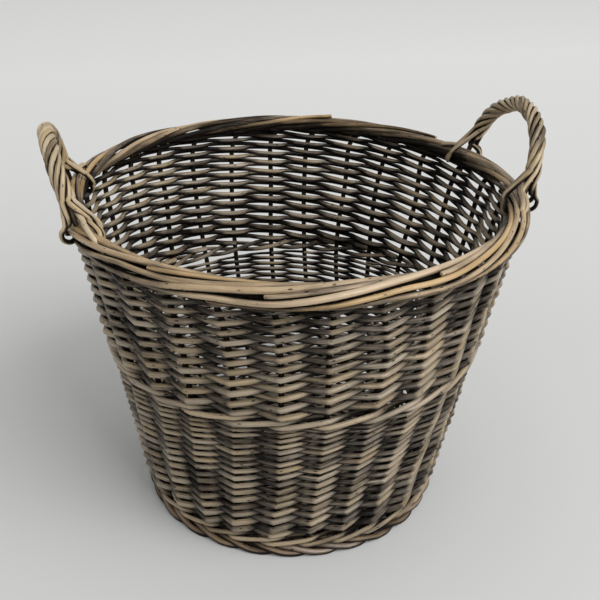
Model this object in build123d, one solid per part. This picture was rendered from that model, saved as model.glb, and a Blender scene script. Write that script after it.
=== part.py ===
from build123d import *
import math
import os

# Sizes of the basket as a whole, in millimetres: the stakes' circle at the base and under the border,
# and the height of the woven wall
stake_count = 28
base_circle_radius = 158.0
rim_circle_radius = 223.0
wall_height = 331.5

# Rods: every one is a peeled willow rod, drawn with three or four sides
stake_thickness = 7.0
stick_thickness = 8.0
foot_rod = 6.6
upsett_rod = 4.2
waist_rod = 5.6
lower_rod_butt = 6.8
lower_rod_tip = 4.8
upper_rod_butt = 6.6
upper_rod_tip = 4.3
base_rod = 8.5
base_rod_depth = 4.0
rod_depth_ratio = 0.87
clearance = 0.25
end_gap = 3.5
row_stagger = 5

# The waist wale divides the wall into a lower and an upper panel
waist_height = 195.0
wale_rods = 3

# The base: a cross of sticks opened out into spokes and woven round, with a pair of stakes at each spoke
stakes_per_stick = 4
slath_fan_radius = 36.0
first_base_row_radius = 44.0
leg_length = 9.0

# The border: the stakes' own tops, laid down and rolled over one another
border_roll_radius = 9.0
border_offset = 4.0
border_first_angle = 215.0
border_turn = 55.0
border_strokes = 5

# The foot border: one short rod for each stake, lying flat on the floor
foot_outset = 5.6
foot_strokes = 2

# The handles: rods twisted round a bow that stands on the border
handle_half_span = 20.0
handle_rise = 68.0
handle_lean = 17.0
handle_bow = 5.6
handle_strand = 6.0
strands_per_handle = 5
handle_turns = 2.25
strand_clearance = 0.9
strand_steps = 16
strand_foot_rise = 8.0
strand_splay = 1.6
strand_tail_drop = 14.0
bow_steps = 14

# Places that follow from the sizes above
stake_step = 360 / stake_count
first_stake_angle = stake_step / 2
stick_count = stake_count // stakes_per_stick
spoke_count = 2 * stick_count
spoke_step = 360 / spoke_count
first_spoke_angle = spoke_step / 2
leg_height = foot_rod + clearance + stake_thickness / 2
stick_height = foot_rod + clearance + stick_thickness / 2
lean = math.atan2(rim_circle_radius - base_circle_radius, wall_height - leg_height)
stake_reach = stake_thickness / 2 / math.cos(lean)
border_radius = rim_circle_radius + border_offset
border_last_angle = border_first_angle - border_turn * border_strokes
border_height = (wall_height + clearance + stake_thickness / 2
                 - border_roll_radius * math.sin(math.radians(border_last_angle)))
border_reach = border_roll_radius + stake_thickness / 2
border_top = border_height + border_reach
foot_spacing = foot_rod + 2 * clearance
foot_inner_radius = (base_circle_radius + foot_outset - foot_spacing * foot_strokes
                     - foot_rod / 2 / math.cos(math.radians(stake_step)))


def place(radius, angle, height):
    turn = math.radians(angle)
    return Vector(radius * math.cos(turn), radius * math.sin(turn), height)


def stake_radius(height):
    return base_circle_radius + (height - leg_height) * math.tan(lean)


def stake_angle(number):
    return first_stake_angle + stake_step * number


def square_rod(points, thickness, start_side):
    """A four-sided rod along straight runs, one edge towards start_side at its first end."""
    start = Plane(origin=points[0], x_dir=start_side, z_dir=points[1] - points[0])
    section = start * RegularPolygon(thickness / 2, 4)
    return sweep(section, path=Polyline(*points), transition=Transition.RIGHT)


def woven_row(height, rod, first_stake, behind):
    """One rod that goes once round the stakes, in front of them except where behind(number) is true.

    Its flat side lies against the wall's slope and its ridge points outwards."""
    depth = rod * rod_depth_ratio
    front_radius = stake_radius(height) + stake_reach + clearance
    back_radius = stake_radius(height) - stake_reach - clearance - depth
    turn = math.radians(stake_step)
    kink = math.atan2(front_radius - back_radius * math.cos(turn), back_radius * math.sin(turn))
    points = []
    for number in range(stake_count + 1):
        radius = back_radius if behind(number) else front_radius
        points.append(place(radius, stake_angle(first_stake + number), height))
    points[-1] = points[-1] + (points[-2] - points[-1]).normalized() * end_gap
    slope = math.tan(lean) * rod / 2
    start = Plane(origin=points[0], x_dir=place(1, stake_angle(first_stake), 0),
                  z_dir=points[1] - points[0])
    section = start * Polygon((-slope, rod / 2), (depth * math.cos(kink), 0), (slope, -rod / 2), align=None)
    return sweep(section, path=Polyline(*points), transition=Transition.RIGHT)


def siding(bottom, top, rod_butt, rod_tip):
    """A panel of randing: row on row, over one stake and under the next, thinning upwards."""
    mean_rod = (rod_butt + rod_tip) / 2
    rows = int((top - bottom) / (mean_rod + clearance))
    gap = (top - bottom) / rows - mean_rod
    height = bottom
    panel = []
    for row in range(rows):
        rod = rod_butt + (rod_tip - rod_butt) * row / (rows - 1)
        first_stake = row * row_stagger
        panel.append(woven_row(height + (rod + gap) / 2, rod, first_stake, lambda number: number % 2 == 0))
        height += rod + gap
    return panel


def wale(bottom, rod):
    """Three rods, each in front of two stakes and behind one, each a stake ahead of the one below."""
    rows = []
    for row in range(wale_rods):
        height = bottom + rod / 2 + row * (rod + clearance)
        rows.append(woven_row(height, rod, row, lambda number: number % wale_rods == 0))
    return rows


def side_stake(number):
    """A stake: its butt beside a base stick, its length up the wall, its top laid into the border."""
    angle = stake_angle(number)
    points = [
        place(base_circle_radius - leg_length, angle, leg_height),
        place(base_circle_radius, angle, leg_height),
        place(rim_circle_radius, angle, wall_height),
    ]
    for stroke in range(border_strokes + 1):
        roll = math.radians(border_first_angle - border_turn * stroke)
        radius = border_radius + border_roll_radius * math.cos(roll)
        height = border_height + border_roll_radius * math.sin(roll)
        points.append(place(radius, angle - stake_step * stroke, height))
    return square_rod(points, stake_thickness, Vector(0, 0, 1))


def foot_rod_solid(number):
    """A foot rod: it starts outside under one stake and runs in behind the rods that follow it."""
    points = []
    for stroke in range(foot_strokes + 1):
        radius = base_circle_radius + foot_outset - foot_spacing * stroke
        points.append(place(radius, stake_angle(number + stroke), foot_rod / 2))
    start = Plane(origin=points[0], x_dir=Vector(0, 0, 1), z_dir=points[1] - points[0])
    section = start * Rectangle(foot_rod, foot_rod)
    return sweep(section, path=Polyline(*points), transition=Transition.RIGHT)


def base_stick(offset, half_run, along, spokes, crossing_height):
    """A stick of the base cross: side by side with its fellows in the middle, then fanned out."""
    across = Vector(-along.Y, along.X, 0)
    near, far = spokes
    end_radius = base_circle_radius - leg_length
    crossing = Vector(0, 0, crossing_height)
    points = [
        place(end_radius, near, stick_height),
        place(slath_fan_radius, near, stick_height),
        across * offset - along * half_run + crossing,
        across * offset + along * half_run + crossing,
        place(slath_fan_radius, far, stick_height),
        place(end_radius, far, stick_height),
    ]
    return square_rod(points, stick_thickness, Vector(0, 0, 1))


def base_sticks():
    """Lower sticks run along X and upper sticks cross over them along Y."""
    upper = stick_count // 2
    lower = stick_count - upper
    pitch = stick_thickness + clearance
    sticks = []
    for count, heading, half_run, height in (
        (lower, 0, (upper * pitch) / 2 + clearance, stick_height),
        (upper, 90, (lower * pitch) / 2 + clearance, stick_height + pitch),
    ):
        for stick in range(count):
            step = stick - (count - 1) / 2
            far = heading + step * spoke_step
            near = heading + 180 - step * spoke_step
            side = step * pitch
            sticks.append(base_stick(side, half_run, place(1, heading, 0), (near, far), height))
    return sticks


def base_row(radius, first_spoke):
    """One round of base weaving, over one stick and under the next, its ends meeting on top of a stick.

    The flat side lies level where it crosses over a stick."""
    depth = base_rod_depth
    over = stick_height + stick_thickness / 2 + clearance
    under = stick_height - stick_thickness / 2 - clearance - depth
    run = 2 * radius * math.sin(math.radians(spoke_step / 2))
    kink = math.atan2(over - under, run)
    points = []
    for spoke in range(spoke_count + 1):
        height = over if spoke % 2 == 0 else under
        angle = first_spoke_angle + spoke_step * (first_spoke + spoke)
        points.append(place(radius, angle, height))
    points[-1] = points[-1] + (points[-2] - points[-1]).normalized() * end_gap
    start = Plane(origin=points[0], x_dir=Vector(0, 0, 1), z_dir=points[1] - points[0])
    half = base_rod / 2
    level = half * math.tan(math.radians(spoke_step / 2)) * math.sin(kink)
    section = start * Polygon((level, -half), (depth * math.cos(kink), 0), (-level, half), align=None)
    return sweep(section, path=Polyline(*points), transition=Transition.RIGHT)


def base_weave():
    outer = foot_inner_radius - clearance - base_rod / 2
    rows = int((outer - first_base_row_radius) / (base_rod + clearance)) + 1
    pitch = (outer - first_base_row_radius) / (rows - 1)
    return [base_row(first_base_row_radius + pitch * row, row % 2) for row in range(rows)]


def bow_point(share):
    """The middle line of a handle over the +X side, share running from 0 at one foot to 1 at the other."""
    turn = math.pi * share
    foot = place(border_radius, handle_half_span, 0)
    rise = math.sin(turn)
    return Vector(
        foot.X + (border_radius - foot.X + handle_lean) * rise,
        -foot.Y * math.cos(turn),
        border_top + clearance + handle_rise * rise,
    )


def bow_heading(share):
    """The way the bow runs at bow_point(share)."""
    turn = math.pi * share
    foot = place(border_radius, handle_half_span, 0)
    outreach = border_radius - foot.X + handle_lean
    return Vector(outreach * math.cos(turn), foot.Y * math.sin(turn), handle_rise * math.cos(turn)).normalized()


def handle_bow_rod():
    points = [bow_point(step / bow_steps) for step in range(bow_steps + 1)]
    return square_rod(points, handle_bow, Vector(1, 0, 0))


def strand_foot(point, foot):
    """The way of a strand from the rope down one side of the border to the weave below it."""
    angle = math.degrees(math.atan2(foot.Y, foot.X))
    radial = place(1, angle, 0)
    tangent = place(1, angle + 90, 0)
    offset = point - foot
    outside = offset.dot(radial) > 0
    along = offset.dot(tangent) * strand_splay
    side = 1 if outside else -1
    strand_gap = handle_strand / 2 + strand_clearance
    beside = border_radius + side * (border_reach + strand_gap)
    end_height = wall_height - strand_tail_drop
    weave_reach = stake_reach + clearance + upper_rod_butt * rod_depth_ratio + strand_gap
    end_radius = stake_radius(end_height) + side * weave_reach
    lowest = radial * end_radius + tangent * along + Vector(0, 0, end_height)
    middle = radial * beside + tangent * along
    half_roll = Vector(0, 0, border_roll_radius / 2)
    upper = middle + Vector(0, 0, border_height) + half_roll
    lower = middle + Vector(0, 0, border_height) - half_roll
    return [upper, lower, lowest]


def handle_strand_rod(number):
    """One strand of the rope: a helix round the bow whose two ends grip the border."""
    orbit = (handle_bow + handle_strand) / 2 + strand_clearance
    first_share = math.asin(strand_foot_rise / handle_rise) / math.pi
    points = []
    for step in range(strand_steps + 1):
        share = first_share + (1 - 2 * first_share) * step / strand_steps
        heading = bow_heading(share)
        outward = Vector(1, 0, 0)
        outward = (outward - heading * outward.dot(heading)).normalized()
        sideways = heading.cross(outward)
        turn = 2 * math.pi * (number / strands_per_handle + handle_turns * step / strand_steps)
        offset = outward * math.cos(turn) + sideways * math.sin(turn)
        points.append(bow_point(share) + offset * orbit)
    first = strand_foot(points[0], bow_point(0) + Vector(0, 0, points[0].Z - bow_point(0).Z))
    last = strand_foot(points[-1], bow_point(1) + Vector(0, 0, points[-1].Z - bow_point(1).Z))
    points = first[::-1] + points + last
    return square_rod(points, handle_strand, Vector(0, 1, 0))


def save(name, solids):
    export_step(Compound(children=list(solids)) if len(solids) > 1 else solids[0], f"parts/{name}.step")


os.makedirs("parts", exist_ok=True)

for number in range(stake_count):
    save(f"side_stake_{number + 1:02d}", [side_stake(number)])

upsett_bottom = leg_height + stake_thickness / 2 + clearance
upsett_top = upsett_bottom + wale_rods * (upsett_rod + clearance)
waist_thickness = wale_rods * (waist_rod + clearance)
waist_bottom = waist_height - waist_thickness / 2
save("upsett_wale_rods", wale(upsett_bottom, upsett_rod))
save("lower_siding_rods", siding(upsett_top, waist_bottom, lower_rod_butt, lower_rod_tip))
save("waist_wale_rods", wale(waist_bottom, waist_rod))
save("upper_siding_rods", siding(waist_bottom + waist_thickness, wall_height, upper_rod_butt, upper_rod_tip))

for number, stick in enumerate(base_sticks()):
    save(f"base_stick_{number + 1}", [stick])
save("base_weaving_rods", base_weave())
save("foot_border_rods", [foot_rod_solid(number) for number in range(stake_count)])

right_bow = handle_bow_rod()
right_strands = [handle_strand_rod(number) for number in range(strands_per_handle)]
half_turn = Rot(0, 0, 180)
save("right_handle_bow", [right_bow])
save("right_handle_strands", right_strands)
save("left_handle_bow", [half_turn * right_bow])
save("left_handle_strands", [half_turn * strand for strand in right_strands])
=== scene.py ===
import math

import bmesh
import bpy
import numpy as np
from mathutils import Matrix, Vector


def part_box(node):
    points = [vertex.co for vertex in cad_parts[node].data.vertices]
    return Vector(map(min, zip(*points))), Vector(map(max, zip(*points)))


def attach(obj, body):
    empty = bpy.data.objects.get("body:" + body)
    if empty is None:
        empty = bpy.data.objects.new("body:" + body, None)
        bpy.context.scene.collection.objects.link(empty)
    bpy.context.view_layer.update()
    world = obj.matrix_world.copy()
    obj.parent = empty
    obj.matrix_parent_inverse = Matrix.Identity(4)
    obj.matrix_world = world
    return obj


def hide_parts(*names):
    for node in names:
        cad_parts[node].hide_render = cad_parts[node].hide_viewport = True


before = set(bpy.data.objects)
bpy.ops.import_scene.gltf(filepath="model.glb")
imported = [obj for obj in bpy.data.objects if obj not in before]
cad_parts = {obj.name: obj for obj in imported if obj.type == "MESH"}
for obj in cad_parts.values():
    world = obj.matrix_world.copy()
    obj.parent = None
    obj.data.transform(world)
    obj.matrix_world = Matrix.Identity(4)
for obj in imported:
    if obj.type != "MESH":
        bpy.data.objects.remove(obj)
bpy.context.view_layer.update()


# Base sticks: seven thick willow rods, four crossed by three at the middle and opened out like spokes.
# They lie on the foot border and carry the base weaving; their ends stop just inside the side stakes.
stick_count = 7
stick_thickness = 0.008
stick_low, stick_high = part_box("base_stick_1")
stick_height = (stick_low.z + stick_high.z) / 2
stick_end_radius = 0.149
stick_wash = 0.45
fan_radius = 0.036
spoke_step = math.pi / stick_count
rod_end_bevel = 0.0006
rod_end_share = 0.8
crevice_shade_edge = 0.45
weld_distance = 1e-6
crease_angle = math.radians(35)
dark_worn = (0.20, 0.15, 0.095)
dark_wash = (0.075, 0.058, 0.042)
# The deepest colour, near black, is for painted shade.
dark_deep_shade = (0.008, 0.006, 0.005)
cut_wood = (0.50, 0.38, 0.23)


def place(radius, angle, height):
    """A point, or a row of points, by radius, angle round the basket and height."""
    radius, angle, height = np.broadcast_arrays(radius, angle, height)
    x = np.ravel(radius * np.cos(angle))
    y = np.ravel(radius * np.sin(angle))
    return np.column_stack([x, y, np.ravel(height)])


def bend(points, steps):
    """A smooth line through points, in steps short runs between each two of them."""
    points = np.asarray(points, float)
    line = np.vstack([2 * points[0] - points[1], points, 2 * points[-1] - points[-2]])
    share = np.arange(steps)[:, None] / steps
    runs = []
    for a, b, c, d in zip(line, line[1:], line[2:], line[3:]):
        square = (2 * a - 5 * b + 4 * c - d) * share**2
        cube = (3 * b - a - 3 * c + d) * share**3
        runs.append((2 * b + (c - a) * share + square + cube) / 2)
    return np.vstack(runs + [points[-1:]])


def rod(path, thickness, wash_and_shade, tone, facing=(0, 0, 1), sides=10, fresh_cut=1.0, crevice_shade=0.7):
    """One willow rod as a mesh: a round section along path with a bevelled cut at each end.

    The wash and painted shade it carries set how dark it is along its length, tone is the rod's own colour,
    facing points to its open side, its crevice shade is how much painted shade the side away from it gets,
    and fresh_cut is how pale its cut ends are."""
    run_in = (path[1] - path[0]) / np.linalg.norm(path[1] - path[0])
    run_out = (path[-2] - path[-1]) / np.linalg.norm(path[-2] - path[-1])
    inner = [path[0] + run_in * rod_end_bevel, *path[1:-1], path[-1] + run_out * rod_end_bevel]
    line = np.vstack([path[0], inner, path[-1]])
    count = len(line)
    spread = np.concatenate([[0], np.arange(len(path)), [len(path) - 1]])
    radius = np.broadcast_to(np.asarray(thickness, float), len(path))[spread] / 2
    radius[0] *= rod_end_share
    radius[-1] *= rod_end_share
    cut = np.zeros(count)
    cut[[0, -1]] = fresh_cut
    reach = np.concatenate([[0], np.cumsum(np.linalg.norm(np.diff(line, axis=0), axis=1))])
    curve = bpy.data.curves.new("rod", "CURVE")
    curve.dimensions = "3D"
    curve.bevel_depth = 1.0
    curve.bevel_resolution = (sides - 4) // 2
    curve.use_fill_caps = True
    spline = curve.splines.new("POLY")
    spline.points.add(count - 1)
    spline.points.foreach_set("co", np.column_stack([line, np.ones(count)]).astype(np.float32).ravel())
    spline.points.foreach_set("radius", radius.astype(np.float32))
    holder = bpy.data.objects.new("rod", curve)
    mesh = bpy.data.meshes.new_from_object(holder)
    # The mesh of a curve lists the cap at its end, the cap at its start and then a ring for each point.
    caps = [np.full(sides, count - 1), np.zeros(sides, int)]
    ring = np.concatenate([*caps, np.repeat(np.arange(count), sides)])
    spots = np.empty(len(ring) * 3, np.float32)
    mesh.vertices.foreach_get("co", spots)
    facing = np.broadcast_to(np.asarray(facing, float), (len(path), 3))[spread][ring]
    facing = facing / np.linalg.norm(facing, axis=1)[:, None]
    openness = ((spots.reshape(-1, 3) - line[ring]) * facing).sum(1) / radius[ring]
    wash_and_shade = np.broadcast_to(np.asarray(wash_and_shade, float), len(path))[spread][ring]
    # Painted shade: the side of the rod turned away from its open side is darkened, as in creases and
    # undersides.
    wash_and_shade = wash_and_shade + crevice_shade * np.clip(crevice_shade_edge - openness, 0, 1)
    tone = np.full(len(ring), tone)
    for name, values in (("reach", reach[ring]), ("wash_and_shade", wash_and_shade), ("cut", cut[ring]), ("tone", tone)):
        layer = mesh.attributes.new(name, "FLOAT", "POINT")
        layer.data.foreach_set("value", values.astype(np.float32))
    bpy.data.objects.remove(holder)
    bpy.data.curves.remove(curve)
    return mesh


def gather(name, rods, finish, slot, *nodes):
    """Joins rods into one closed piece with its finish, hangs it on the root body and hides the given
    nodes.
    """
    form = bmesh.new()
    for mesh in rods:
        form.from_mesh(mesh)
        bpy.data.meshes.remove(mesh)
    bmesh.ops.remove_doubles(form, verts=form.verts, dist=weld_distance)
    bmesh.ops.recalc_face_normals(form, faces=form.faces)
    for face in form.faces:
        face.smooth = True
    for edge in form.edges:
        if edge.calc_face_angle(0) > crease_angle:
            edge.smooth = False
    mesh = bpy.data.meshes.new(name)
    form.to_mesh(mesh)
    form.free()
    mesh.materials.append(finish)
    piece = bpy.data.objects.new(name, mesh)
    bpy.context.scene.collection.objects.link(piece)
    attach(piece, "root")
    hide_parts(*nodes)


def willow(name, worn, wash, deep_shade, wash_level):
    """Peeled willow under an antique wash: pale where handling wore it, with a little painted highlight
    there, and painted shade down to near black where the rods ask for it, as in the crossings; patchy along
    each rod and stained unevenly over the basket, with fine fibres, small knots and pale cut ends.
    wash_level is how much of the wash lies on all of it."""
    finish = bpy.data.materials.new(name)
    finish.use_nodes = True
    nodes = finish.node_tree.nodes
    shader = nodes["Principled BSDF"]

    def add(kind, sockets, **settings):
        node = nodes.new("ShaderNode" + kind)
        for key, value in settings.items():
            setattr(node, key, value)
        for key, value in sockets.items():
            if hasattr(value, "is_output"):
                finish.node_tree.links.new(value, node.inputs[key])
            else:
                node.inputs[key].default_value = value
        return node

    def maths(operation, first, second=0.0):
        return add("Math", {0: first, 1: second}, operation=operation).outputs[0]

    def trait(attribute):
        return add("Attribute", {}, attribute_name=attribute).outputs["Fac"]

    reach, tone, wash_and_shade, cut = (trait(a) for a in ("reach", "tone", "wash_and_shade", "cut"))
    around = add("SeparateXYZ", {0: add("UVMap", {}, uv_map="UVMap").outputs[0]}).outputs[1]
    turn = maths("MULTIPLY", around, 2 * math.pi)
    across = maths("COSINE", turn)
    upright = maths("SINE", turn)
    own = maths("MULTIPLY", tone, 60.0)

    def rod_spot(along, round_the_rod):
        return add("CombineXYZ", {
            0: maths("MULTIPLY", reach, along),
            1: maths("MULTIPLY", across, round_the_rod),
            2: maths("MULTIPLY", upright, round_the_rod),
        }).outputs[0]

    def grain(along, round_the_rod, detail):
        return add("TexNoise", {
            "Vector": rod_spot(along, round_the_rod),
            "W": own,
            "Scale": 1.0,
            "Detail": detail,
            "Roughness": 0.62,
        }, noise_dimensions="4D").outputs[0]

    patch = grain(34.0, 0.9, 3.0)
    fibre = grain(60.0, 9.0, 2.0)
    knots = add("TexVoronoi", {
        "Vector": rod_spot(110.0, 0.9),
        "W": own,
        "Scale": 1.0,
    }, voronoi_dimensions="4D")
    knot = add("MapRange", {
        "Value": knots.outputs["Distance"],
        "From Min": 0.25,
        "From Max": 0.18,
    }).outputs[0]
    everywhere = add("TexCoord", {}).outputs["Object"]
    stain = add("TexNoise", {"Vector": everywhere, "Scale": 16.0, "Detail": 2.0}).outputs[0]
    # About the average of the noises is taken off, so that the wash level and the rod's wash and painted
    # shade set how dark it is.
    noise_average = 0.98
    amount = maths("MULTIPLY_ADD", patch, 0.95)
    amount.node.inputs[2].default_value = wash_level - noise_average
    for part, share in ((wash_and_shade, 1.0), (stain, 0.90), (fibre, 0.30), (tone, 0.34), (knot, 0.45)):
        amount = maths("ADD", amount, maths("MULTIPLY", part, share))
    # The ramp runs from the worn colour whitened a little, wear with a painted highlight, through the worn
    # colour and the wash to a near black that is painted shade.
    ramp = add("ValToRGB", {0: amount})
    stops = ramp.color_ramp.elements
    pale = tuple(min(1.0, 1.28 * c + 0.035) for c in worn)
    stops[0].position = 0.05
    stops[0].color = (*pale, 1)
    stops[1].position = 1.0
    stops[1].color = (*deep_shade, 1)
    for position, colour in ((0.34, worn), (0.66, wash)):
        stop = stops.new(position)
        stop.color = (*colour, 1)
    warmth = maths("FRACT", maths("MULTIPLY", tone, 7.3))
    hue = add("HueSaturation", {
        "Saturation": add("MapRange", {"Value": warmth, "To Min": 0.80, "To Max": 1.14}).outputs[0],
        "Color": ramp.outputs[0],
    })
    coloured = add("Mix", {0: cut, 6: hue.outputs[0], 7: (*cut_wood, 1)}, data_type="RGBA")
    finish.node_tree.links.new(coloured.outputs[2], shader.inputs["Base Color"])
    rough = add("MapRange", {
        "Value": patch,
        "From Min": 0.3,
        "From Max": 0.7,
        "To Min": 0.28,
        "To Max": 0.46,
    }).outputs[0]
    finish.node_tree.links.new(rough, shader.inputs["Roughness"])
    sheen = add("MapRange", {
        "Value": amount,
        "From Min": 0.3,
        "From Max": 0.9,
        "To Min": 0.60,
        "To Max": 0.06,
    }).outputs[0]
    finish.node_tree.links.new(sheen, shader.inputs["Specular IOR Level"])
    height = maths("ADD", fibre, maths("MULTIPLY", knot, 0.6))
    bump = add("Bump", {"Strength": 0.35, "Distance": 0.0008, "Height": height})
    finish.node_tree.links.new(bump.outputs[0], shader.inputs["Normal"])
    return finish


base_finish = willow("base_willow", dark_worn, dark_wash, dark_deep_shade, 0.05)
base_chance = np.random.default_rng(7)
lower_sticks = stick_count - stick_count // 2
stick_number = 0
for count, heading, level in ((lower_sticks, 0.0, 0), (stick_count - lower_sticks, math.pi / 2, 1)):
    crossing_half = (stick_count - count) * stick_thickness / 2
    along = np.array([math.cos(heading), math.sin(heading), 0])
    across = np.array([-along[1], along[0], 0])
    for stick in range(count):
        step = stick - (count - 1) / 2
        stick_number += 1
        middle = across * step * stick_thickness + [0, 0, stick_height + level * stick_thickness]
        line = bend(np.vstack([
            place(stick_end_radius, heading + math.pi - step * spoke_step, stick_height),
            place(fan_radius * 2, heading + math.pi - step * spoke_step, stick_height),
            place(fan_radius, heading + math.pi - step * spoke_step, stick_height),
            middle - along * crossing_half,
            middle + along * crossing_half,
            place(fan_radius, heading + step * spoke_step, stick_height),
            place(fan_radius * 2, heading + step * spoke_step, stick_height),
            place(stick_end_radius, heading + step * spoke_step, stick_height),
        ]), 5)
        stick_rod = rod(line, stick_thickness, stick_wash, base_chance.random())
        node = f"base_stick_{stick_number}"
        gather(node + "_willow", [stick_rod], base_finish, "base_willow", node)


# Base weaving: rods woven over one spoke and under the next, round after round from the cross outwards,
# packed tight by hand so that the base is a closed disc; each round starts four spokes further on.
base_rod = 0.0064
base_packing = 1.02
base_press = 0.96
base_weave_inner = 0.031
base_weave_margin = 0.0046
base_weave_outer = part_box("base_weaving_rods")[1].x + base_weave_margin
base_rounds = int((base_weave_outer - base_weave_inner) / (base_rod * base_packing)) + 1
base_round_shift = 4
base_lap = 0.8
base_lap_slope = 0.004
base_wobble = 0.0003
base_steps = 8
spokes = 2 * stick_count
base_lift = (stick_thickness + base_rod) / 2 * base_press
base_rods = []
for number, radius in enumerate(np.linspace(base_weave_inner, base_weave_outer, base_rounds)):
    passed = np.linspace(0, spokes + base_lap, int((spokes + base_lap) * base_steps))
    lap = np.clip(passed - spokes, 0, None)
    wave = np.cos(math.pi * (passed + number))
    wobble = base_chance.normal(0, base_wobble, 4)
    path = place(
        radius + wobble[0] * np.sin(passed) + wobble[1] * np.cos(2 * passed) + base_lap_slope * lap,
        spoke_step * (passed + 0.5 + base_round_shift * number),
        stick_height + base_lift * wave * (1 - 0.25 * lap),
    )
    # Painted shade: darker between the sticks, where the rod passes from over one stick to under the next.
    wash_and_shade = 0.55 - 0.30 * np.abs(wave)
    size = base_rod * base_chance.normal(1, 0.03) * np.linspace(1.04, 0.9, len(passed))
    base_rods.append(rod(path, size, wash_and_shade, base_chance.random(), sides=8))
gather("base_weaving_willow", base_rods, base_finish, "base_willow", "base_weaving_rods")


# Side stakes: 28 willow rods pushed in beside the base sticks, bent up and woven round to the rim.
# Their tops are the border: each is laid down to the left and winds from the inside of the rim over its top
# to the outside, where it is trimmed, so the rim is a roll of rods; its colour is lighter towards the front
# and darker towards the back.
stake_count = 28
stake_step = 2 * math.pi / stake_count
first_stake_angle = stake_step / 2
stake_thickness = 0.0057
border_thickness = 0.0060
border_tip = 0.0049
base_circle_radius = 0.158
rim_circle_radius = 0.223
leg_height = 0.01035
leg_lifts = np.array([0, 0.0005, 0.006])
leg_insets = np.array([0.009, 0.003, -0.0005])
upright_bottom = 0.03
upright_gap = 0.006
rim_blend = 0.012
wall_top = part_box("upper_siding_rods")[1].z
border_outset = 0.004
border_radius = rim_circle_radius + border_outset
border_roll_radius = 0.0090
border_height = 0.34304
border_slot_rolls = np.radians([-70, -22, 22, 60, 95, 128, 160])
border_rise = 2
trimmed_slots = (2, 3)
trimmed_share = 0.34
stray_slot = 4
stray_place = 4
stray_lifts = (0.0005, 0.002, 0.005)
sway_heights = (0.0, 0.10, 0.20, 0.27, 0.34)
common_sway = (-0.004, 0.001, 0.007, 0.005, 0.001)
border_cover = 0.0035
border_reach = border_roll_radius + border_cover
border_top = border_height + border_reach
lighter_side_heading = math.radians(-104)
lighter_side_share = 0.13
tan_worn = (0.345, 0.236, 0.117)
tan_wash = (0.112, 0.079, 0.046)
# The deepest colour, near black, is for painted shade.
tan_deep_shade = (0.010, 0.0075, 0.0055)
rim_finish = willow("rim_willow", tan_worn, tan_wash, tan_deep_shade, 0.0)
wall_slope = (rim_circle_radius - base_circle_radius) / (wall_top - leg_height)
stake_chance = np.random.default_rng(28)
stake_sway = common_sway + stake_chance.normal(0, 0.0030, (stake_count, len(sway_heights)))


def wall_radius(height):
    """How far the stakes stand from the basket's axis at a height."""
    return base_circle_radius + (height - leg_height) * wall_slope


def stake_angle(number, height):
    """Where a stake stands at a height, swaying a little; a share of a number lies between two stakes."""
    number, height = np.broadcast_arrays(np.asarray(number, float), np.asarray(height, float))
    before = np.floor(number).astype(int)
    sways = []
    for stake, z in zip(np.ravel(before), np.ravel(height)):
        pair = (stake_sway[stake % stake_count], stake_sway[(stake + 1) % stake_count])
        sways.append([np.interp(z, sway_heights, sway) for sway in pair])
    sways = np.array(sways)
    share = np.ravel(number - before)
    sway = sways[:, 0] * (1 - share) + sways[:, 1] * share
    return first_stake_angle + stake_step * np.ravel(number) + sway / wall_radius(np.ravel(height))


border_leavers = stake_chance.choice(trimmed_slots, stake_count)
border_leavers[stake_chance.random(stake_count) > trimmed_share] = 0
border_leavers[stray_place] = stray_slot


def border_slots_of(number):
    """The slots of the roll that the top of a stake takes, stake after stake, from the inside
    over the top to the outside. At every stake one rod of the roll ends, and those behind it
    move up by one slot."""
    slots = [len(border_slot_rolls) - 1]
    while slots[-1] != border_leavers[(number - border_rise - len(slots)) % stake_count]:
        leaver = border_leavers[(number - border_rise - len(slots)) % stake_count]
        slots.append(slots[-1] - int(slots[-1] > leaver))
    return slots


def border_tail(angle, slots, roll_shift, size_shift):
    """The laid-down top of a stake: it starts in the middle of the rim, winds out to the inside
    and follows its slots. The second value is how much it is covered by others."""
    last = border_rise + len(slots) - 1 + (0.5 if slots[-1] == stray_slot else 0.1)
    passed = np.append(np.arange(0.35, last - 0.2, 0.5), last)
    slot = np.interp(passed, border_rise + np.arange(len(slots)), slots)
    roll = np.interp(slot, np.arange(len(border_slot_rolls)), border_slot_rolls)
    roll += roll_shift * np.sin(passed * 1.7)
    roll += border_slot_rolls[-1] / 5 * np.clip(border_rise - passed, 0, None)
    radius = (border_roll_radius + size_shift) * np.clip(0.1 + 0.9 * passed / border_rise, 0, 1)
    height = border_height + radius * np.sin(roll)
    points = place(border_radius + radius * np.cos(roll), angle - stake_step * passed, height)
    return points, np.clip((np.degrees(roll) - 125) / 40, 0, 1)


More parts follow.
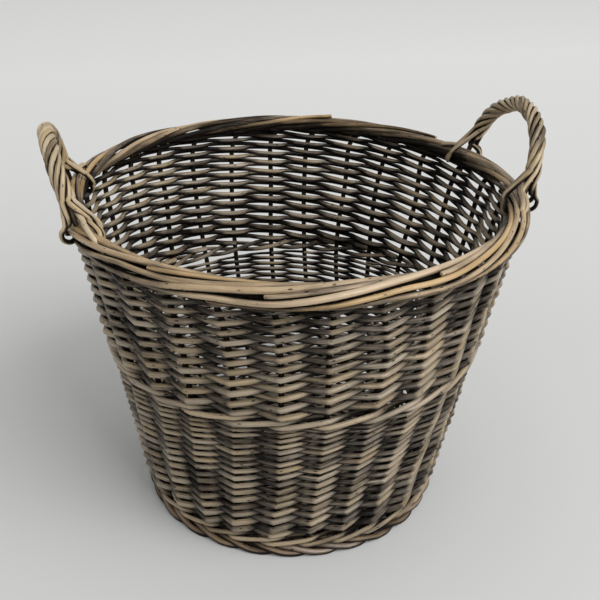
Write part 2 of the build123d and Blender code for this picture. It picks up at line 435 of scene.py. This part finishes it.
for number in range(stake_count):
    heights = leg_height + leg_lifts
    foot = place(base_circle_radius - leg_insets, stake_angle(number, heights), heights)
    heights = np.linspace(upright_bottom, wall_top - upright_gap, 7)
    upright = place(wall_radius(heights), stake_angle(number, heights), heights)
    slots = border_slots_of(number)
    tail, covered = border_tail(stake_angle(number, wall_top)[0], slots, stake_chance.normal(0, 0.10),
                                stake_chance.normal(0.0002, 0.0007))
    if slots[-1] == stray_slot:
        tail[-len(stray_lifts):, 2] += stray_lifts
    line = bend(np.vstack([foot, upright, tail]), 4)
    covered = np.concatenate([np.ones(len(foot) + len(upright)), covered])
    covered = np.interp(np.arange(len(line)) / 4, np.arange(len(covered)), covered)
    at_rim = np.clip((line[:, 2] - wall_top) / rim_blend, 0, 1)
    length = np.linspace(0, 1, len(line))
    late = np.clip((length - 0.55) / 0.45, 0, 1)
    size = stake_thickness + (border_thickness - stake_thickness) * at_rim
    size += (border_tip - border_thickness) * late**2
    size *= 1 + (stake_chance.uniform(0.88, 1.10) - 1) * at_rim
    # Painted shade: darker on the uprights inside the weave and where other rods of the roll cover it; the
    # random part is the rod's own wash.
    wash_and_shade = stake_chance.uniform(0, 0.28) + 0.45 * covered + 0.40 * (1 - at_rim)
    # Lighter towards the front of the border and darker towards the back.
    wash_and_shade -= lighter_side_share * at_rim * np.cos(np.arctan2(line[:, 1], line[:, 0]) - lighter_side_heading)
    roll_middle = line * [1, 1, 0]
    roll_middle *= border_radius / np.linalg.norm(roll_middle, axis=1)[:, None]
    facing = line - roll_middle - [0, 0, border_height]
    stake_rod = rod(line, size, wash_and_shade, stake_chance.random(), facing)
    node = f"side_stake_{number + 1:02d}"
    gather(node + "_willow", [stake_rod], rim_finish, "rim_willow", node)


# Upsett wale: three thin rods woven together, each in front of two stakes and behind one,
# which hold the bent-up stakes upright just above the foot.
upsett_rod = 0.0046
upsett_spread = 0.55
upsett_start = 5
upsett_climb = 0.001
upsett_wash = 0.10
wale_worn = (0.295, 0.225, 0.140)
wale_wash = (0.135, 0.106, 0.073)
# The deepest colour, near black, is for painted shade.
wale_deep_shade = (0.010, 0.008, 0.006)
wale_finish = willow("wale_willow", wale_worn, wale_wash, wale_deep_shade, 0.0)
wale_rods = 3
wale_lap = 1.6
wale_steps = 7


def wale_rod(bottom, top, size, spread, first_stake, climb, wash, tone):
    """One rod of a wale: it comes out between two stakes, crosses two and goes in behind the third."""
    passed = np.linspace(0, stake_count + wale_lap, int((stake_count + wale_lap) * wale_steps))
    stroke = passed % wale_rods
    front = np.clip(1.35 * np.cos(2 * math.pi * (stroke - 1.5) / wale_rods) + 0.35, -1, 1)
    lift = np.sin(2 * math.pi * (stroke - 1.5) / wale_rods)
    height = (bottom + top) / 2 + lift * (top - bottom - size) * spread
    height += climb * (passed / stake_count - 0.5)
    radius = wall_radius(height) + front * (stake_thickness + size) / 2
    path = place(radius, stake_angle(first_stake + passed, height), height)
    # Painted shade: darkest where the rod passes between the stakes, lighter on the inside and lightest in
    # front.
    wash_and_shade = 0.72 + wash - 0.64 * np.clip(front, 0, 1) ** 0.8 - 0.34 * np.clip(-front, 0, 1)
    facing = path * [1, 1, 0] / radius[:, None] * front[:, None] + [0, 0, 1]
    return rod(path, size * np.linspace(1.05, 0.92, len(passed)), wash_and_shade, tone, facing, fresh_cut=0.1)


upsett_low, upsett_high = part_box("upsett_wale_rods")
wale_chance = np.random.default_rng(3)
upsett = []
for number in range(wale_rods):
    upsett.append(wale_rod(
        upsett_low.z, upsett_high.z, upsett_rod, upsett_spread,
        upsett_start + number, upsett_climb, upsett_wash, wale_chance.random(),
    ))
gather("upsett_wale_willow", upsett, wale_finish, "wale_willow", "upsett_wale_rods")


# Lower siding: 20 rods started one after the other round the panel, woven in front of one stake and
# behind the next. Each climbs about seven tenths of its thickness at every stake, so the thick butts
# lie at the bottom of the panel and the thin tips end below the waist.
lower_butt = 0.0068
lower_tip = 0.0033
lower_lift = 0.003
lower_wash = 0.10
stroke_marks = (0.0, 0.08, 0.32, 0.58, 0.76, 0.92)
going_in_share = 0.54
coming_out_share = 0.54
front_dip = 0.30
siding_rods = 20
siding_packing = 0.98
siding_press = 0.98
outer_climb = 0.15
# Painted shade on the outer face just under the border.
under_border_shade = 0.40
under_border_shade_height = 0.022
hidden_height = 0.008
washed_worn = (0.240, 0.184, 0.114)
washed_wash = (0.076, 0.060, 0.044)
# The deepest colour, near black, is for painted shade.
washed_deep_shade = (0.007, 0.0055, 0.0045)
siding_finish = willow("washed_willow", washed_worn, washed_wash, washed_deep_shade, 0.0)
siding_chance = np.random.default_rng(26)


def siding_panel(bottom, top, butt, tip, wash):
    """The rods of one panel of weaving between two heights. They start one after the other round
    the panel, climb side by side and end at the top behind a stake."""
    rows = 2 * round((top - bottom) / (butt + tip))
    climb_rate = siding_rods / stake_count
    rods = []
    for number in range(siding_rods):
        start = number / climb_rate
        first = math.floor(start) - (math.floor(start) + number) % 2
        last = math.ceil(start + rows / climb_rate)
        last += (last + number) % 2
        passed = np.append((np.arange(first, last)[:, None] + stroke_marks).ravel(), last)
        past_stake = passed - np.floor(passed)
        coming_out = (np.floor(passed) + number) % 2 == 0
        wave = np.where(coming_out, np.interp(past_stake, [0, coming_out_share, 1], [-1, 0, 1]),
                        np.interp(past_stake, [0, going_in_share, 1], [1, 0, -1]))
        wave = np.where(wave < 0, (1 + wave) ** 2 - 1, wave)
        early = np.minimum(past_stake, 1 - past_stake) * np.where(coming_out, -outer_climb, outer_climb)
        row = np.clip(climb_rate * (passed - start + early), 0, rows)
        size = butt + (tip - butt) * row / rows
        climb = (butt * row + (tip - butt) * row**2 / (2 * rows)) / (rows * (butt + tip) / 2)
        own_size = size * siding_packing * siding_chance.normal(1, 0.04)
        crossings = np.arange(first, last + 1)
        drift = np.interp(passed, crossings, siding_chance.normal(0, 0.00035, len(crossings)))
        bulge = np.interp(passed, crossings, siding_chance.normal(0, 0.0004, len(crossings)))
        height = bottom + size / 2 + climb * (top - bottom - tip) + drift
        height -= front_dip * size * np.clip(wave, 0, 1)
        radius = wall_radius(height) + wave * (stake_thickness + size) / 2 * siding_press + bulge
        path = place(radius, stake_angle(passed, height), height)
        # Painted shade: darkest where the rod passes between the stakes, darker on the arms that come out
        # than on those that go in, on the outer face just under the border and where it runs up into the
        # border.
        outside = np.clip((wave + 0.30) / 0.5, 0, 1)
        inside = np.clip(-wave / 0.5, 0, 1)
        wash_and_shade = 0.84 + wash - 0.80 * outside - 0.66 * inside + 0.28 * coming_out * outside
        wash_and_shade += under_border_shade * outside * np.clip((height - wall_top) / under_border_shade_height + 1, 0, 1)
        wash_and_shade += np.clip((height - wall_top) / hidden_height, 0, 1)
        facing = path * [1, 1, 0] / radius[:, None] * (1.1 * wave + 0.4)[:, None] + [0, 0, 0.9]
        rods.append(rod(path, own_size, wash_and_shade, siding_chance.random(), facing, sides=8, fresh_cut=0.1))
    return rods


waist_low, waist_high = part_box("waist_wale_rods")
waist_squeeze = 0.0022
lower_bottom = upsett_high.z + lower_lift
lower_top = waist_low.z + waist_squeeze
lower_rods = siding_panel(lower_bottom, lower_top, lower_butt, lower_tip, lower_wash)
gather("lower_siding_willow", lower_rods, siding_finish, "washed_willow", "lower_siding_rods")


# Waist wale: three light rods woven as the upsett is, a band that locks the lower panel
# and gives the rods of the upper panel a firm start.
waist_rod = 0.0053
waist_spread = 0.36
waist_start = 12
waist_climb = 0.006
waist_wash = 0.0
waist = []
for number in range(wale_rods):
    waist.append(wale_rod(
        waist_low.z, waist_high.z, waist_rod, waist_spread,
        waist_start + number, waist_climb, waist_wash, wale_chance.random(),
    ))
gather("waist_wale_willow", waist, wale_finish, "wale_willow", "waist_wale_rods")


# Upper siding: a second panel woven the same way from the waist to the border,
# with rods that stay a little thicker to the top.
upper_butt = 0.0067
upper_tip = 0.0048
upper_wash = 0.03
weave_overlap = 0.011
upper_bottom = waist_high.z - waist_squeeze
upper_top = wall_top + weave_overlap
upper_rods = siding_panel(upper_bottom, upper_top, upper_butt, upper_tip, upper_wash)
gather("upper_siding_willow", upper_rods, siding_finish, "washed_willow", "upper_siding_rods")


# Foot border: one short russet rod for each stake. It comes out beside its stake under the upsett wale,
# slopes down over the rod before it to the floor and runs in under the base, so the basket stands on
# a ring of rods.
foot_thickness = 0.0066
foot_outset = 0.0006
foot_outer_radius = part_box("foot_border_rods")[1].x - foot_thickness / 2 + foot_outset
foot_steps = np.array([0.06, 0.25, 0.40, 0.60, 0.85, 1.0, 1.25, 1.6, 1.85, 2.2, 2.6])
foot_insets = np.array([0.85, 0.60, 0.45, 0.28, 0.10, 0.05, 0.0, 0.12, 0.55, 1.25, 1.90])
foot_levels = np.array([1.48, 1.48, 1.45, 1.36, 1.10, 0.90, 0.62, 0.51, 0.51, 0.52, 0.52])
# Painted shade along each rod: dark where it starts under the upsett and where it runs in under the base,
# lighter where it lies open, with more in its creases than other rods.
foot_shade_steps = (0, 0.2, 0.6, 1.4, 1.8, 2.6)
foot_shade = (0.85, 0.62, 0.26, 0.28, 0.7, 0.9)
foot_crevice_shade = 1.1
russet_worn = (0.205, 0.136, 0.080)
russet_wash = (0.115, 0.082, 0.054)
# The deepest colour, near black, is for painted shade.
russet_deep_shade = (0.008, 0.006, 0.005)
foot_finish = willow("foot_willow", russet_worn, russet_wash, russet_deep_shade, -0.05)
foot_chance = np.random.default_rng(5)
foot_rods = []
for number in range(stake_count):
    angle = first_stake_angle + stake_step * (number + foot_chance.normal(0, 0.06))
    outer = foot_outer_radius + foot_chance.normal(0, 0.0005)
    size = foot_thickness * foot_chance.normal(1, 0.05)
    radius = outer - foot_insets * foot_thickness
    line = bend(place(radius, angle + stake_step * foot_steps, foot_levels * size), 4)
    steps = np.interp(np.arange(len(line)) / 4, np.arange(len(foot_steps)), foot_steps)
    wash_and_shade = np.interp(steps, foot_shade_steps, foot_shade)
    foot_rods.append(rod(line, size, wash_and_shade, foot_chance.random(), crevice_shade=foot_crevice_shade))
gather("foot_border_willow", foot_rods, foot_finish, "foot_willow", "foot_border_rods")


# Handles: a rod bowed over the rim with its ends driven down beside the stakes, wound round with six rods
# of nearly its own thickness like a rope; the rope's ends splay over both sides of the border and go into
# the weave. The left handle is a little narrower than the right one.
handle_outset = 0.006
handle_rise = 0.068
bow_thickness = 0.0056
bow_wash = 0.4
bow_stub_scale = np.array([0.955, 1, 1])
bow_stub_length = 0.03
strand_thickness = 0.0054
strand_count = 6
strand_wash = 0.10
# Painted shade in the creases between the strands of the rope, stronger than on other rods.
strand_crevice_shade = 1.6
handle_turns = 2.8
twist_at_top = 0.35
strand_splay = 0.036
strand_loop = 0.007
bow_samples = 40
handle_worn = (0.345, 0.256, 0.142)
handle_wash = (0.098, 0.073, 0.046)
# The deepest colour, near black, is for painted shade.
handle_deep_shade = (0.010, 0.008, 0.006)
handle_finish = willow("handle_willow", handle_worn, handle_wash, handle_deep_shade, -0.03)
handles = (
    ("right", 1, math.radians(17.8), 0.0195),
    ("left", -1, math.radians(14.5), 0.0168),
)


def bow_line(share, half_span, lean):
    """Points along the middle of a handle, share going from 0 at one foot to 1 at the other."""
    share = np.asarray(share, float)
    foot = place(border_radius + handle_outset, half_span, 0)[0]
    rise = np.sin(math.pi * share)
    return np.column_stack([
        foot[0] + (border_radius - foot[0] + lean) * rise,
        -foot[1] * np.cos(math.pi * share),
        border_top + handle_rise * rise,
    ])


def strand_grip(foot_angle, away, outward, chance):
    """The end of a strand, splayed from the rope on to the border: an outer one goes down its outside,
    an inner one down its inside and those between run along its top, away from the handle,
    while the outer ones turn a little back under it."""
    outward = np.clip(outward + chance.uniform(-0.2, 0.2), -1, 1)
    share = np.array([0.12, 0.40, 0.70, 1.0, 1.15])
    first_roll = math.radians(90 - 45 * outward)
    last_roll = math.radians(75 - (110 if outward > 0 else 145) * outward)
    roll = first_roll + (last_roll - first_roll) * share
    along = strand_splay * (1 - 0.75 * abs(outward)) * share * (1 if outward < 0.3 else -0.6) + 0.003
    loop = strand_loop * max(outward, 0) * chance.random() * np.array([0.4, 1.0, 0.8, 0.2, 0.0])
    reach = border_reach + loop + strand_thickness * np.array([1.0, 0.55, 0.40, 0.0, -1.2])
    angle = foot_angle + away * along / border_radius
    points = place(border_radius + reach * np.cos(roll), angle, border_height + reach * np.sin(roll))
    return points, place(np.cos(roll), angle, np.sin(roll))


def handle_strand(number, half_span, lean, chance):
    """One rod of the rope: it winds round the bow from foot to foot and grips the border at both ends."""
    share = np.linspace(0.09, 0.91, bow_samples)
    middle = bow_line(share, half_span, lean)
    heading = np.gradient(middle, axis=0)
    heading /= np.linalg.norm(heading, axis=1)[:, None]
    outward = np.array([1.0, 0, 0]) - heading * heading[:, :1]
    outward /= np.linalg.norm(outward, axis=1)[:, None]
    sideways = np.cross(heading, outward)
    wind = share - share[0] + twist_at_top * np.sin(2 * math.pi * (share - 0.5)) / (2 * math.pi)
    turn = 2 * math.pi * (number / strand_count + handle_turns * wind)[:, None]
    loose = np.interp(share, np.linspace(0, 1, 9), chance.normal(1.06, 0.10, 9))[:, None]
    open_side = outward * np.cos(turn) + sideways * np.sin(turn)
    rope = middle + (bow_thickness + strand_thickness) / 2 * loose * open_side
    first, first_side = strand_grip(-half_span, -1, math.cos(turn[0, 0]), chance)
    last, last_side = strand_grip(half_span, 1, math.cos(turn[-1, 0]), chance)
    line = bend(np.vstack([first[::-1], rope, last]), 3)
    facing = bend(np.vstack([first_side[::-1], open_side, last_side]), 3)
    return line, facing


for side, half_turn, half_span, lean in handles:
    handle_chance = np.random.default_rng(11 + half_turn)
    spin = np.array([half_turn, half_turn, 1])
    bow_path = bow_line(np.linspace(0, 1, bow_samples), half_span, lean)
    stub = bow_path[[0, -1]] * bow_stub_scale - [0, 0, bow_stub_length]
    bow_path = np.vstack([stub[:1], bow_path, stub[1:]])
    bow_rod = rod(bow_path * spin, bow_thickness, bow_wash, handle_chance.random())
    gather(side + "_handle_bow_willow", [bow_rod], handle_finish, "handle_willow", side + "_handle_bow")
    strands = []
    for number in range(strand_count):
        line, facing = handle_strand(number, half_span, lean, handle_chance)
        size = strand_thickness * handle_chance.normal(1, 0.11)
        tone = handle_chance.random()
        strands.append(rod(line * spin, size, strand_wash, tone, facing * spin, crevice_shade=strand_crevice_shade))
    gather(side + "_handle_rope_willow", strands, handle_finish, "handle_willow", side + "_handle_strands")


# Studio: a pale floor that is a little paler behind the basket, even light from all round
# and one large soft lamp above, in front and to the right.
floor_size = 60.0
floor_near = 0.2
floor_far = 1.8
floor_grey = (0.550, 0.555, 0.545)
back_grey = (0.758, 0.765, 0.753)
world_light = 0.68
lamp_power = 150.0
lamp_size = 3.0
lamp_place = (1.5, -2.5, 3.1)
lamp_target = (0, 0, 0.2)
floor_form = bmesh.new()
bmesh.ops.create_grid(floor_form, x_segments=1, y_segments=1, size=floor_size / 2)
floor_mesh = bpy.data.meshes.new("floor")
floor_form.to_mesh(floor_mesh)
floor_form.free()
floor = bpy.data.objects.new("floor", floor_mesh)
bpy.context.scene.collection.objects.link(floor)
floor_finish = bpy.data.materials.new("painted_floor")
floor_finish.use_nodes = True
floor_nodes = floor_finish.node_tree.nodes
floor_links = floor_finish.node_tree.links
floor_nodes["Principled BSDF"].inputs["Roughness"].default_value = 0.9
floor_nodes["Principled BSDF"].inputs["Specular IOR Level"].default_value = 0.2
floor_spot = floor_nodes.new("ShaderNodeSeparateXYZ")
floor_links.new(floor_nodes.new("ShaderNodeTexCoord").outputs["Object"], floor_spot.inputs[0])
floor_depth = floor_nodes.new("ShaderNodeMapRange")
floor_depth.inputs["From Min"].default_value = floor_near
floor_depth.inputs["From Max"].default_value = floor_far
floor_links.new(floor_spot.outputs["Y"], floor_depth.inputs["Value"])
floor_paint = floor_nodes.new("ShaderNodeMix")
floor_paint.data_type = "RGBA"
floor_paint.inputs[6].default_value = (*floor_grey, 1)
floor_paint.inputs[7].default_value = (*back_grey, 1)
floor_links.new(floor_depth.outputs[0], floor_paint.inputs[0])
floor_links.new(floor_paint.outputs[2], floor_nodes["Principled BSDF"].inputs["Base Color"])
floor_mesh.materials.append(floor_finish)
world = bpy.data.worlds.new("studio")
world.use_nodes = True
world.node_tree.nodes["Background"].inputs["Color"].default_value = (1.0, 1.0, 1.0, 1)
world.node_tree.nodes["Background"].inputs["Strength"].default_value = world_light
bpy.context.scene.world = world
lamp_data = bpy.data.lights.new("soft_lamp", "AREA")
lamp_data.energy = lamp_power
lamp_data.size = lamp_size
lamp = bpy.data.objects.new("soft_lamp", lamp_data)
lamp.location = lamp_place
lamp_heading = Vector(lamp_target) - Vector(lamp_place)
lamp.rotation_euler = lamp_heading.to_track_quat("-Z", "Y").to_euler()
bpy.context.scene.collection.objects.link(lamp)


# Camera: it looks down at the basket from the front, a little to the left of the handles' middle line,
# as the basket was photographed.
focal_pixels = 982.1
frame_pixels = 600
sensor_width = 36.0
camera_pitch = math.radians(27.98)
camera_yaw = math.radians(0.41)
camera_roll = math.radians(1.36)
camera_place = Vector((0, -0.94896, 0.7234))
basket_turn = math.radians(-14.3)
camera_data = bpy.data.cameras.new("camera")
camera_data.sensor_width = sensor_width
camera_data.lens = sensor_width * focal_pixels / frame_pixels
camera = bpy.data.objects.new("camera", camera_data)
facing = Matrix.Rotation(-camera_yaw, 4, "Z") @ Matrix.Rotation(math.pi / 2 - camera_pitch, 4, "X")
tilt = Matrix.Rotation(camera_roll, 4, "Z")
stand = Matrix.Rotation(basket_turn, 4, "Z") @ Matrix.Translation(camera_place)
camera.matrix_world = stand @ facing @ tilt
bpy.context.scene.collection.objects.link(camera)
bpy.context.scene.camera = camera
bpy.context.scene.view_settings.view_transform = "Standard"
